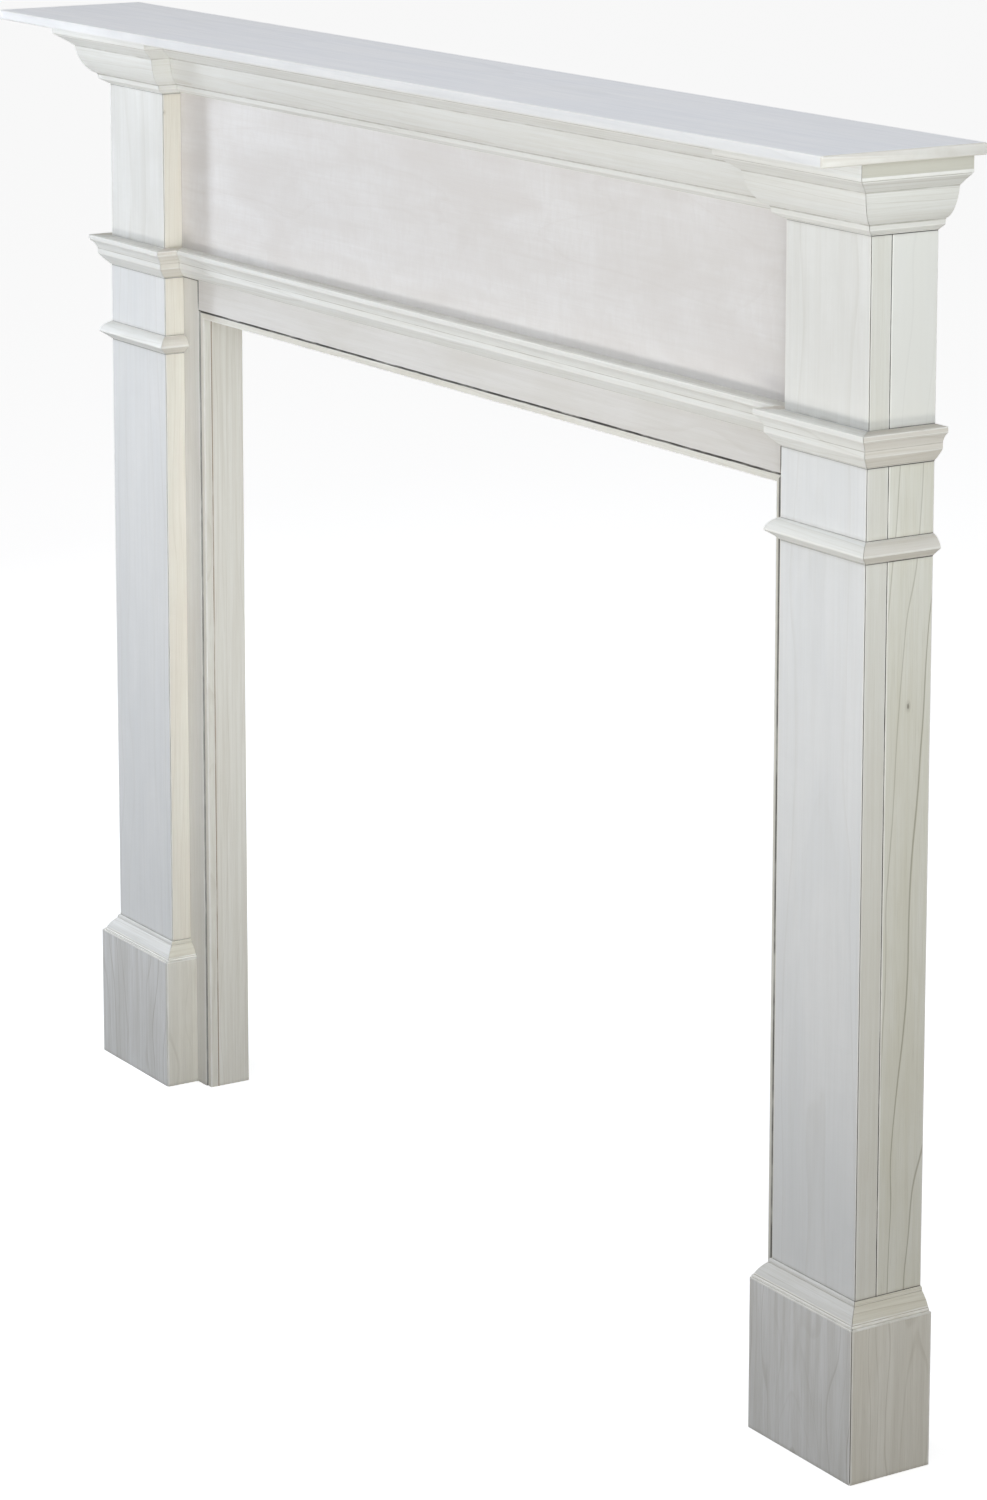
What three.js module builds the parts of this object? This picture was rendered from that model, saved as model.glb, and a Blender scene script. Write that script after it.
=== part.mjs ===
// A fireplace mantelpiece of pale, unfinished wood: a square-edged shelf on crown moulding, a plain
// frieze, a header and two box pilasters on plinths, round an open fireplace.
// Millimetres. +Z is up, the front faces -Y, and the origin is under the middle of the bounding box.
import * as THREE from 'three';

// Clearances
const GLUE_GAP = 0.3;
const OPEN_JOINT = 0.8;
const TRIM_JOINT = 1;
const MITRE_GAP = 0.3;

// The fireplace opening and the square trim round it
const OPENING_WIDTH = 1212;
const OPENING_HEIGHT = 999;
const TRIM_WIDTH = 8.5;
const TRIM_DEPTH = 10;
const TRIM_SETBACK = 2;

// Widths, outwards from the opening
const STILE_SHOWN = 37.5;
const PILASTER_WIDTH = 143;
const BLOCK_INNER_INSET = 2.5;
const SHELF_END_OVERHANG = 74;

// Depths, forwards from the wall
const BACKING_DEPTH = 57;
const PILASTER_PROJECTION = 27;
const BLOCK_SETBACK = 1.5;
const SHELF_FRONT_OVERHANG = 115;

// Heights, upwards from the hearth and from the opening
const PLINTH_HEIGHT = 165;
const HEADER_SHOWN = 39.1;
const FRIEZE_SHOWN = 194.4;
const FRIEZE_LAP = 18.3;
const NECK_DROP = 110.8;

// How far the plinth boards stand out from the pilaster
const PLINTH_FRONT_STEP = 17.5;
const PLINTH_OUTER_STEP = 18.5;
const PLINTH_INNER_STEP = 15.5;

// Board thicknesses
const SHELF_THICKNESS = 12;
const STILE_THICKNESS = 19;
const SIDE_THICKNESS = 19;
const BOX_THICKNESS = 12;
const PANEL_THICKNESS = 12;

// Softened edges
const SHELF_ARRIS = 1.6;
const BOARD_ARRIS = 0.9;
const EASE = 0.5;
const ARRIS_STEPS = 3;
const CURVE_STEPS = 8;

const LEFT = -1;
const RIGHT = 1;

// A curve between two [out, up] points. At fullness 1 it is a quarter of an ellipse that leaves the
// first point straight up, and at fullness 0 it is the straight line between the two.
function upThenOver([startOut, startUp], [endOut, endUp], fullness) {
  const points = [];
  for (let i = 0; i <= CURVE_STEPS; i += 1) {
    const share = i / CURVE_STEPS;
    const angle = (Math.PI / 2) * share;
    const outShare = share + fullness * (1 - Math.cos(angle) - share);
    const upShare = share + fullness * (Math.sin(angle) - share);
    points.push([startOut + (endOut - startOut) * outShare, startUp + (endUp - startUp) * upShare]);
  }
  return points;
}

// The same, but at fullness 1 it leaves the first point straight outwards.
function overThenUp(start, end, fullness) {
  return upThenOver(end, start, fullness).reverse();
}

// Moulding profiles, out from the face they are fixed to and up from their lower edge.
// Crown: sloping foot and fillet, ovolo, step, shallow cove, step and flat band.
const CROWN = {
  height: 81,
  foot: [2, 0.8],
  footEnd: [10.8, 6.2],
  footFullness: 0.12,
  fillet: [11.7, 11.4],
  ovoloStart: [12.4, 12.4],
  ovoloEnd: [32.4, 45.5],
  ovoloFullness: 0.68,
  stepFoot: [33, 47.6],
  coveStart: [34.6, 48.5],
  coveEnd: [50.8, 59.6],
  coveFullness: 0.1,
  bandFoot: [51.6, 60.2],
  bandOut: 54,
  bandBottom: 62,
};
const crownProfile = [
  [GLUE_GAP, 0],
  [CROWN.foot[0], 0],
  ...overThenUp(CROWN.foot, CROWN.footEnd, CROWN.footFullness),
  CROWN.fillet,
  ...overThenUp(CROWN.ovoloStart, CROWN.ovoloEnd, CROWN.ovoloFullness),
  CROWN.stepFoot,
  ...upThenOver(CROWN.coveStart, CROWN.coveEnd, CROWN.coveFullness),
  CROWN.bandFoot,
  [CROWN.bandFoot[0] + EASE, CROWN.bandBottom - EASE],
  [CROWN.bandOut - EASE, CROWN.bandBottom],
  [CROWN.bandOut, CROWN.bandBottom + EASE],
  [CROWN.bandOut, CROWN.height - EASE],
  [CROWN.bandOut - EASE, CROWN.height],
  [GLUE_GAP, CROWN.height],
];

// Middle moulding: sloping foot, fillet, shallow cove and a flat top fillet.
const MID = {
  height: 36.7,
  foot: [1.3, 0.6],
  footEnd: [12, 12.1],
  footFullness: 0.12,
  fillet: [12.8, 13.1],
  filletTop: [12.8, 19.7],
  coveStart: [13.1, 20.6],
  coveEnd: [20, 30],
  coveFullness: 0.4,
  out: 21,
  topFillet: 6,
};
const midProfile = [
  [GLUE_GAP, 0],
  [MID.foot[0], 0],
  ...overThenUp(MID.foot, MID.footEnd, MID.footFullness),
  MID.fillet,
  MID.filletTop,
  ...upThenOver(MID.coveStart, MID.coveEnd, MID.coveFullness),
  [MID.out - EASE, MID.height - MID.topFillet],
  [MID.out, MID.height - MID.topFillet + EASE],
  [MID.out, MID.height - EASE],
  [MID.out - EASE, MID.height],
  [GLUE_GAP, MID.height],
];

// Necking band: a slope below, a sharp lip, and a round back over the top.
const NECK = {
  height: 22.2,
  slopeFoot: [1.2, 0.3],
  slopeEnd: [11.2, 7.8],
  slopeFullness: 0.1,
  lip: 8.6,
  out: 12.5,
  roundFoot: 9.9,
  roundFullness: 0.56,
};
const neckProfile = [
  [GLUE_GAP, 0],
  [NECK.slopeFoot[0], 0],
  ...upThenOver(NECK.slopeFoot, NECK.slopeEnd, NECK.slopeFullness),
  [NECK.out - EASE, NECK.lip],
  [NECK.out, NECK.lip + EASE],
  ...upThenOver([NECK.out, NECK.roundFoot], [GLUE_GAP + EASE, NECK.height], NECK.roundFullness),
  [GLUE_GAP, NECK.height],
];

// Plinth cap: low fillet, a wide and nearly straight slope, and a small bead against the pilaster.
const CAP = {
  height: 21.7,
  out: 15.2,
  foot: 2.4,
  slopeFoot: [13.4, 3.4],
  slopeTop: [3.4, 16.9],
  slopeFullness: 0.25,
  beadFoot: [3, 18],
  beadTop: [0.9, 21.7],
  beadFullness: 0.9,
};
const capProfile = [
  [GLUE_GAP, 0],
  [CAP.out - EASE, 0],
  [CAP.out, EASE],
  [CAP.out, CAP.foot - EASE],
  [CAP.out - EASE, CAP.foot],
  [CAP.slopeFoot[0], CAP.foot + EASE],
  ...upThenOver(CAP.slopeFoot, CAP.slopeTop, CAP.slopeFullness),
  [CAP.beadFoot[0] - EASE, CAP.beadFoot[1] - EASE],
  ...upThenOver(CAP.beadFoot, CAP.beadTop, CAP.beadFullness),
  [GLUE_GAP, CAP.height],
];

// Places that follow from the sizes above
const OPENING_HALF = OPENING_WIDTH / 2;
const STILE_INNER = OPENING_HALF + TRIM_WIDTH + TRIM_JOINT;
const PILASTER_INNER = STILE_INNER + STILE_SHOWN;
const PILASTER_OUTER = PILASTER_INNER + PILASTER_WIDTH;
const PILASTER_DEPTH = BACKING_DEPTH + PILASTER_PROJECTION;
const BLOCK_DEPTH = PILASTER_DEPTH - BLOCK_SETBACK;
const SHELF_DEPTH = PILASTER_DEPTH + SHELF_FRONT_OVERHANG;
const WALL_Y = SHELF_DEPTH / 2;
const HEADER_BOTTOM = OPENING_HEIGHT + TRIM_WIDTH + TRIM_JOINT;
const MID_TOP = HEADER_BOTTOM + HEADER_SHOWN + MID.height;
const NECK_TOP = MID_TOP - NECK_DROP;
const FRIEZE_BOTTOM = MID_TOP - FRIEZE_LAP;
const CROWN_TOP = MID_TOP + FRIEZE_SHOWN + CROWN.height;
const SHELF_BOTTOM = CROWN_TOP + GLUE_GAP;
const HEIGHT = SHELF_BOTTOM + SHELF_THICKNESS;

// A closed solid through matching rings of points, capped flat at the first and last ring.
function skin(rings, capOutline) {
  const count = rings[0].length;
  const contour = capOutline.map(([u, v]) => new THREE.Vector2(u, v));
  const triangles = [];
  const index = [];
  for (let r = 0; r < rings.length - 1; r += 1) {
    for (let i = 0; i < count; i += 1) {
      const next = (i + 1) % count;
      const a = r * count + i;
      const b = r * count + next;
      const c = (r + 1) * count + next;
      const d = (r + 1) * count + i;
      index.push([a, b, c], [a, c, d]);
    }
  }
  const last = (rings.length - 1) * count;
  const turned = THREE.ShapeUtils.isClockWise(contour);
  for (const [a, b, c] of THREE.ShapeUtils.triangulateShape(contour, [])) {
    const [from, to] = turned ? [a, c] : [c, a];
    index.push([from, b, to], [last + to, last + b, last + from]);
  }
  const points = rings.flat();
  let volume = 0;
  for (const [a, b, c] of index) {
    volume += points[a].dot(points[b].clone().cross(points[c]));
  }
  for (const [a, b, c] of index) {
    triangles.push(...(volume > 0 ? [a, b, c] : [a, c, b]));
  }
  const geometry = new THREE.BufferGeometry();
  const positions = points.flatMap((p) => [p.x, p.y, p.z]);
  geometry.setAttribute('position', new THREE.Float32BufferAttribute(positions, 3));
  geometry.setIndex(triangles);
  return geometry;
}

// An outline whose corners are softened: each corner is [u, v, radius].
function soften(corners) {
  const outline = [];
  corners.forEach(([u, v, radius], i) => {
    const corner = new THREE.Vector2(u, v);
    if (!radius) {
      outline.push([u, v]);
      return;
    }
    const before = new THREE.Vector2(...corners[(i + corners.length - 1) % corners.length]);
    const after = new THREE.Vector2(...corners[(i + 1) % corners.length]);
    const start = corner.clone().add(before.sub(corner).setLength(radius));
    const end = corner.clone().add(after.sub(corner).setLength(radius));
    for (let k = 0; k <= ARRIS_STEPS; k += 1) {
      const t = k / ARRIS_STEPS;
      const x = (1 - t) ** 2 * start.x + 2 * t * (1 - t) * corner.x + t ** 2 * end.x;
      const y = (1 - t) ** 2 * start.y + 2 * t * (1 - t) * corner.y + t ** 2 * end.y;
      outline.push([x, y]);
    }
  });
  return outline;
}

// An upright board: a plan outline of [across, forward, radius] corners between two heights.
// Across is measured towards the given side and forward from the wall plane.
function upright(side, corners, bottom, top) {
  const outline = soften(corners);
  const ring = (z) => outline.map(([x, y]) => new THREE.Vector3(side * x, WALL_Y - y, z));
  return skin([ring(bottom), ring(top)], outline);
}

// A lying board: a [forward, up, radius] section between two points across.
function lying(corners, from, to) {
  const outline = soften(corners);
  const ring = (x) => outline.map(([y, z]) => new THREE.Vector3(x, WALL_Y - y, z));
  return skin([ring(from), ring(to)], outline);
}

// The shelf: a lying board whose ends are eased as well as its long edges.
function shelfBoard() {
  const half = PILASTER_OUTER + SHELF_END_OVERHANG;
  const section = (inset) => soften([
    [inset, SHELF_BOTTOM + inset, SHELF_ARRIS],
    [SHELF_DEPTH - inset, SHELF_BOTTOM + inset, SHELF_ARRIS],
    [SHELF_DEPTH - inset, HEIGHT - inset, SHELF_ARRIS],
    [inset, HEIGHT - inset, SHELF_ARRIS],
  ]);
  const stations = [
    [-half, SHELF_ARRIS * 0.6],
    [-half + SHELF_ARRIS * 0.25, SHELF_ARRIS * 0.2],
    [-half + SHELF_ARRIS * 0.8, 0],
    [half - SHELF_ARRIS * 0.8, 0],
    [half - SHELF_ARRIS * 0.25, SHELF_ARRIS * 0.2],
    [half, SHELF_ARRIS * 0.6],
  ];
  const rings = stations.map(([x, inset]) => section(inset).map(
    ([y, z]) => new THREE.Vector3(x, WALL_Y - y, z),
  ));
  return skin(rings, section(SHELF_ARRIS * 0.6));
}

// One length of moulding along a wall-plan segment. Each end is 'out' where the run turns round an
// outside corner, 'in' where it turns into an inside corner, or 'square'.
function moulding(side, profile, base, start, end, startCut, endCut) {
  const from = new THREE.Vector2(...start);
  const to = new THREE.Vector2(...end);
  const along = to.clone().sub(from).normalize();
  const outward = new THREE.Vector2(-along.y, along.x);
  const reach = { out: 1, in: -1, square: 0 };
  const gap = { out: MITRE_GAP, in: MITRE_GAP, square: GLUE_GAP };
  const ring = (origin, direction, cut) => profile.map(([out, up]) => {
    const slide = direction * (reach[cut] * out - gap[cut]);
    const x = origin.x + outward.x * out + along.x * slide;
    const y = origin.y + outward.y * out + along.y * slide;
    return new THREE.Vector3(side * x, WALL_Y - y, base + up);
  });
  return skin([ring(from, -1, startCut), ring(to, 1, endCut)], profile);
}

const nodes = new Map();

function addNode(name, geometry) {
  nodes.set(name, geometry);
}

// Runs that go round the head of a pilaster and carry on along the frieze between the two.
// Plan points are [across, forward], taken so that the outside is on the left of each run.
function brokenRun(name, profile, base, inset, depth) {
  const outer = PILASTER_OUTER;
  const inner = PILASTER_INNER + inset;
  for (const [label, side] of [['left', LEFT], ['right', RIGHT]]) {
    const outerRun = [[outer, depth], [outer, 0]];
    const frontRun = [[inner, depth], [outer, depth]];
    const innerRun = [[inner, BACKING_DEPTH], [inner, depth]];
    addNode(`${name}_${label}_outer`, moulding(side, profile, base, ...outerRun, 'out', 'square'));
    addNode(`${name}_${label}_front`, moulding(side, profile, base, ...frontRun, 'out', 'out'));
    addNode(`${name}_${label}_inner`, moulding(side, profile, base, ...innerRun, 'in', 'out'));
  }
  const friezeRun = [[-inner, BACKING_DEPTH], [inner, BACKING_DEPTH]];
  addNode(`${name}_frieze`, moulding(RIGHT, profile, base, ...friezeRun, 'in', 'in'));
}

// Bands that go round three sides of a pilaster and stop square against the stile and the wall.
function collar(name, profile, base) {
  for (const [label, side] of [['left', LEFT], ['right', RIGHT]]) {
    const outerRun = [[PILASTER_OUTER, PILASTER_DEPTH], [PILASTER_OUTER, 0]];
    const frontRun = [[PILASTER_INNER, PILASTER_DEPTH], [PILASTER_OUTER, PILASTER_DEPTH]];
    const innerRun = [[PILASTER_INNER, BACKING_DEPTH], [PILASTER_INNER, PILASTER_DEPTH]];
    addNode(`${name}_${label}_outer`, moulding(side, profile, base, ...outerRun, 'out', 'square'));
    addNode(`${name}_${label}_front`, moulding(side, profile, base, ...frontRun, 'out', 'out'));
    addNode(`${name}_${label}_inner`, moulding(side, profile, base, ...innerRun, 'square', 'out'));
  }
}

// Three boards mitred into a shallow box on the face of the backing.
function boxBoards(name, outer, inner, depth, thickness, bottom, top, backOuter) {
  const [front, outerWall, innerWall] = thickness;
  const split = MITRE_GAP / 2;
  const innerBack = BACKING_DEPTH + GLUE_GAP;
  const arris = BOARD_ARRIS;
  for (const [label, side] of [['left', LEFT], ['right', RIGHT]]) {
    addNode(`${name}_${label}_front`, upright(side, [
      [inner + split, depth, arris],
      [outer - split, depth, arris],
      [outer - outerWall - split, depth - front, 0],
      [inner + innerWall + split, depth - front, 0],
    ], bottom, top));
    addNode(`${name}_${label}_outer`, upright(side, [
      [outer, depth - split, arris],
      [outer, backOuter, arris],
      [outer - outerWall, backOuter, 0],
      [outer - outerWall, depth - front - split, 0],
    ], bottom, top));
    addNode(`${name}_${label}_inner`, upright(side, [
      [inner, depth - split, arris],
      [inner + innerWall, depth - front - split, 0],
      [inner + innerWall, innerBack, 0],
      [inner, innerBack, 0],
    ], bottom, top));
  }
}

addNode('shelf_board', shelfBoard());
brokenRun('crown', crownProfile, CROWN_TOP - CROWN.height, BLOCK_INNER_INSET, BLOCK_DEPTH);
brokenRun('mid', midProfile, MID_TOP - MID.height, 0, PILASTER_DEPTH);
collar('neck', neckProfile, NECK_TOP - NECK.height);
collar('cap', capProfile, PLINTH_HEIGHT + GLUE_GAP);

const boxWalls = [BOX_THICKNESS, BOX_THICKNESS, BOX_THICKNESS];
const boxBack = BACKING_DEPTH + OPEN_JOINT / 2;
boxBoards('block', PILASTER_OUTER, PILASTER_INNER + BLOCK_INNER_INSET, BLOCK_DEPTH,
  boxWalls, MID_TOP + GLUE_GAP, CROWN_TOP, boxBack);
boxBoards('shaft', PILASTER_OUTER, PILASTER_INNER, PILASTER_DEPTH,
  boxWalls, 0, MID_TOP, boxBack);

const plinthWalls = [PLINTH_FRONT_STEP, PLINTH_OUTER_STEP, PLINTH_INNER_STEP]
  .map((step) => step - GLUE_GAP);
boxBoards('plinth', PILASTER_OUTER + PLINTH_OUTER_STEP, PILASTER_INNER - PLINTH_INNER_STEP,
  PILASTER_DEPTH + PLINTH_FRONT_STEP, plinthWalls, 0, PLINTH_HEIGHT, 0);

// The backing frame behind the pilasters, with the linings of the fireplace opening.
const sideFront = BACKING_DEPTH - OPEN_JOINT / 2;
const sideInner = PILASTER_OUTER - SIDE_THICKNESS;
const trimFront = BACKING_DEPTH - TRIM_SETBACK;
const trimOuter = OPENING_HALF + TRIM_WIDTH;
const trimBack = trimFront - TRIM_DEPTH;
const liningFront = trimBack - GLUE_GAP;
const liningTop = OPENING_HEIGHT + TRIM_WIDTH;
for (const [label, side] of [['left', LEFT], ['right', RIGHT]]) {
  addNode(`side_${label}`, upright(side, [
    [PILASTER_OUTER, 0, BOARD_ARRIS],
    [PILASTER_OUTER, sideFront, BOARD_ARRIS],
    [sideInner, sideFront, 0],
    [sideInner, 0, 0],
  ], 0, CROWN_TOP));
  addNode(`stile_${label}`, upright(side, [
    [STILE_INNER, BACKING_DEPTH, BOARD_ARRIS],
    [sideInner - GLUE_GAP, BACKING_DEPTH, 0],
    [sideInner - GLUE_GAP, BACKING_DEPTH - STILE_THICKNESS, 0],
    [STILE_INNER, BACKING_DEPTH - STILE_THICKNESS, 0],
  ], 0, FRIEZE_BOTTOM - GLUE_GAP));
  addNode(`jamb_${label}`, upright(side, [
    [OPENING_HALF, 0, 0],
    [OPENING_HALF, liningFront, BOARD_ARRIS],
    [STILE_INNER - GLUE_GAP, liningFront, 0],
    [STILE_INNER - GLUE_GAP, 0, 0],
  ], 0, liningTop));
}

const headerEnd = STILE_INNER - OPEN_JOINT;
addNode('header_board', lying([
  [BACKING_DEPTH, HEADER_BOTTOM, BOARD_ARRIS],
  [BACKING_DEPTH, FRIEZE_BOTTOM - GLUE_GAP, 0],
  [BACKING_DEPTH - STILE_THICKNESS, FRIEZE_BOTTOM - GLUE_GAP, 0],
  [BACKING_DEPTH - STILE_THICKNESS, HEADER_BOTTOM, 0],
], -headerEnd, headerEnd));
addNode('frieze_panel', lying([
  [BACKING_DEPTH, FRIEZE_BOTTOM, 0],
  [BACKING_DEPTH, CROWN_TOP, 0],
  [BACKING_DEPTH - PANEL_THICKNESS, CROWN_TOP, 0],
  [BACKING_DEPTH - PANEL_THICKNESS, FRIEZE_BOTTOM, 0],
], GLUE_GAP - sideInner, sideInner - GLUE_GAP));
addNode('soffit_board', lying([
  [liningFront, OPENING_HEIGHT, BOARD_ARRIS],
  [liningFront, HEADER_BOTTOM - GLUE_GAP, 0],
  [0, HEADER_BOTTOM - GLUE_GAP, 0],
  [0, OPENING_HEIGHT, 0],
], GLUE_GAP - OPENING_HALF, OPENING_HALF - GLUE_GAP));

// The small square trim round the opening, mitred at its two top corners.
const trimSection = soften([
  [0, trimBack, 0],
  [0, trimFront, BOARD_ARRIS],
  [TRIM_WIDTH, trimFront, BOARD_ARRIS],
  [TRIM_WIDTH, trimBack, 0],
]);
const cutAt = (out, sign) => OPENING_HEIGHT + out + (sign * MITRE_GAP) / 2;
for (const [label, side] of [['left', LEFT], ['right', RIGHT]]) {
  const ring = (height) => trimSection.map(([out, forward]) => new THREE.Vector3(
    side * (OPENING_HALF + out), WALL_Y - forward, height(out),
  ));
  addNode(`trim_${label}`, skin([ring(() => 0), ring((out) => cutAt(out, -1))], trimSection));
}
const headRing = (side) => trimSection.map(([out, forward]) => new THREE.Vector3(
  side * (OPENING_HALF + out - MITRE_GAP / 2), WALL_Y - forward, OPENING_HEIGHT + out,
));
addNode('trim_head', skin([headRing(LEFT), headRing(RIGHT)], trimSection));

const PALE_WOOD = { color: 0xe2dfd6, roughness: 0.62, metalness: 0 };
const group = new THREE.Group();
group.name = 'mantelpiece';
for (const [name, geometry] of nodes) {
  geometry.computeVertexNormals();
  const mesh = new THREE.Mesh(geometry, new THREE.MeshStandardMaterial(PALE_WOOD));
  mesh.name = name;
  group.add(mesh);
}

export default group;
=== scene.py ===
# %% [markdown]
# # A pale timber mantelpiece, piece by piece
# The real object is a joiner's flat-pack classic: two hollow box pilasters on plinths, a plywood
# frieze, a header, a shelf, and four kinds of moulding mitred round the corners, all of poplar
# rubbed with a thin white finish. Nothing is turned or carved, so the whole likeness lies in crisp
# profiles, in true mitres, in small soft edges and in how the grain shows through the white.
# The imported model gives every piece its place. This file dresses each one in that place.

import math
import random
import zlib
from fnmatch import fnmatch

import bmesh
import bpy
from mathutils import Matrix, Vector


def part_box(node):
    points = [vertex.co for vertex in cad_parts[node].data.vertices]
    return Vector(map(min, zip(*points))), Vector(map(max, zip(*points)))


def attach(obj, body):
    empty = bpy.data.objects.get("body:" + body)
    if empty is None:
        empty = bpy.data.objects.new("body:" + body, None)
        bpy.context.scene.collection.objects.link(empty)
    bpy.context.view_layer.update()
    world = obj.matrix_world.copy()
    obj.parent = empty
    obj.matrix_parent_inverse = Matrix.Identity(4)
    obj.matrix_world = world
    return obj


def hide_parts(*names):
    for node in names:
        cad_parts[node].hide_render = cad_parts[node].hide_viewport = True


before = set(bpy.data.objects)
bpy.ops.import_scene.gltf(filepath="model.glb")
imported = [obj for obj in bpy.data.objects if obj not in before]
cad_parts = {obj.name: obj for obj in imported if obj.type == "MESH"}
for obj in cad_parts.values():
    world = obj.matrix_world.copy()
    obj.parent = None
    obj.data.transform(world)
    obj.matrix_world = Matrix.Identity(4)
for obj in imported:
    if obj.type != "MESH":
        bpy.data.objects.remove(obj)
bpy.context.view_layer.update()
scene = bpy.context.scene

# %% [markdown]
# ## Where the eye is
# The photograph looks down along the mantelpiece from far off to its right, through a long lens.
# Its uprights are parallel, which a camera that looks down can only do by shifting its lens, so
# the camera here is pitched and partly shifted. Place, turn and lens were fitted to corners that
# show in the photograph.

# %% Camera at the photograph's viewing angle
YAW, PITCH, ROLL = 1.0135852998, 0.1683041791, -0.0010800543
EYE = Vector((4.273025, -2.631013, 1.910242))
FOCAL_PIXELS = 4517.19
PHOTO_WIDTH, PHOTO_HEIGHT = 987, 1500
OPTICAL_COLUMN = 451.757
LENS_SHIFT = -0.27


def put(name, data):
    """Adds an object with its data to the scene."""
    thing = bpy.data.objects.new(name, data)
    scene.collection.objects.link(thing)
    return thing


camera_data = bpy.data.cameras.new("eye")
camera_data.sensor_width = 36
camera_data.lens = FOCAL_PIXELS * camera_data.sensor_width / PHOTO_HEIGHT
camera_data.shift_x = (PHOTO_WIDTH / 2 - OPTICAL_COLUMN) / PHOTO_HEIGHT
camera_data.shift_y = LENS_SHIFT
camera = put("eye", camera_data)
camera.matrix_world = (Matrix.Translation(EYE) @ Matrix.Rotation(YAW, 4, "Z")
                       @ Matrix.Rotation(math.pi / 2 - PITCH, 4, "X") @ Matrix.Rotation(ROLL, 4, "Z"))
scene.camera = camera
print("lens", round(camera_data.lens, 2), "mm, shift", round(camera_data.shift_x, 4), camera_data.shift_y)

# %% [markdown]
# ## How a board is made
# A real board is sawn, planed, and its long corners are rubbed soft by hand, so the softness
# changes a little along the edge. A cube with a bevel would give one dead-even edge. Here a board
# is a skin over many cross-sections: each section has rounded corners whose size wanders slowly,
# and the two ends are eased. The skin also carries five facts that the finish reads later: where
# a point lies along and across the grain, whether it is on a corner (where the pale line is partly
# a painted highlight), where dust and painted shade lie, whether a joint runs there, and which board it is.

# %% A section with rounded corners
EDGE_BAND, WORN_BAND = 0.0022, 0.0036
ARC_STEPS = 4


def soft_section(corners, wear, band=EDGE_BAND):
    """Points (u, v, on_corner) of a closed outline of (u, v, radius) corners, in metres."""
    points = []
    for i, (u, v, radius) in enumerate(corners):
        corner = Vector((u, v))
        if not radius:
            points.append((u, v, 0.0))
            continue
        before = (Vector(corners[i - 1][:2]) - corner).normalized()
        after = (Vector(corners[(i + 1) % len(corners)][:2]) - corner).normalized()
        start, end = corner + before * radius * wear, corner + after * radius * wear
        points.append((*(corner + before * band), 0.0))
        for k in range(ARC_STEPS + 1):
            t = k / ARC_STEPS
            point = start * (1 - t) ** 2 + corner * 2 * t * (1 - t) + end * t ** 2
            points.append((*point, 1.0 - 0.8 * abs(t - 0.5)))
        points.append((*(corner + after * band), 0.0))
    return points


print("points round one soft corner:", ARC_STEPS + 3)

# %% A closed skin over sections, with the facts that the finish reads
def board_seed(name):
    """The same number for the same piece on every run."""
    return zlib.crc32(name.encode())


def store(mesh, **masks):
    """Stores one number for each point under each name."""
    for label, values in masks.items():
        mesh.attributes.new(label, "FLOAT", "POINT").data.foreach_set("value", values)


SHARP_EDGE = math.radians(32)


def finish_mesh(mesh):
    """Turns all faces outwards, and keeps curves smooth and corners crisp."""
    work = bmesh.new()
    work.from_mesh(mesh)
    bmesh.ops.recalc_face_normals(work, faces=work.faces)
    if work.calc_volume(signed=True) < 0:
        bmesh.ops.reverse_faces(work, faces=work.faces)
    open_edges = sum(1 for e in work.edges if len(e.link_faces) != 2)
    work.to_mesh(mesh)
    work.free()
    mesh.polygons.foreach_set("use_smooth", [True] * len(mesh.polygons))
    mesh.set_sharp_from_angle(angle=SHARP_EDGE)
    if open_edges:
        print("NOT CLOSED:", mesh.name, open_edges)


def skin(name, rings, arris, grain_of, grime_of=lambda p: 0.0, seam_of=lambda p: 0.0):
    """Joins matching rings of points into one closed mesh. Arris has one mask for each point."""
    count = len(rings[0])
    points = [p for ring in rings for p in ring]
    faces = [tuple(range(count))[::-1], tuple(range(len(points) - count, len(points)))]
    for r in range(len(rings) - 1):
        for i in range(count):
            j = (i + 1) % count
            faces.append((r * count + i, r * count + j, (r + 1) * count + j, (r + 1) * count + i))
    mesh = bpy.data.meshes.new(name)
    mesh.from_pydata(points, [], faces)
    centre = Vector([(min(p[k] for p in points) + max(p[k] for p in points)) / 2 for k in range(3)])
    grain = [part for p in points for part in grain_of(p - centre)]
    mesh.attributes.new("grain", "FLOAT_VECTOR", "POINT").data.foreach_set("vector", grain)
    store(mesh, arris=arris, grime=[grime_of(p) for p in points], seam=[seam_of(p) for p in points],
          tally=[random.Random(board_seed(name)).random()] * len(points))
    finish_mesh(mesh)
    return mesh


# %% Stations along a board, close together where something touches it
STATION_STEP = 0.016
END_EASE = 0.0004
SEAM_DROP, SEAM_FADE = 0.0011, 0.0019
MARK_OFFSETS = (-0.006, -SEAM_FADE, -SEAM_DROP, 0, 0.0015, 0.006)
DRIFT_WAVES = (9, 23, 51, 97)
KNOCKS, KNOCK_REACH = 3, 0.009


def stations(low, high, marks=()):
    """Places along a board: an even spread, its eased ends, and some round each contact mark."""
    count = max(3, round((high - low) / STATION_STEP))
    places = {round(low + (high - low) * i / count, 6) for i in range(count + 1)}
    places |= {round(low + END_EASE, 6), round(high - END_EASE, 6)}
    for mark in marks:
        for offset in MARK_OFFSETS:
            if low < mark + offset < high:
                places.add(round(mark + offset, 6))
    return sorted(places)


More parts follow.
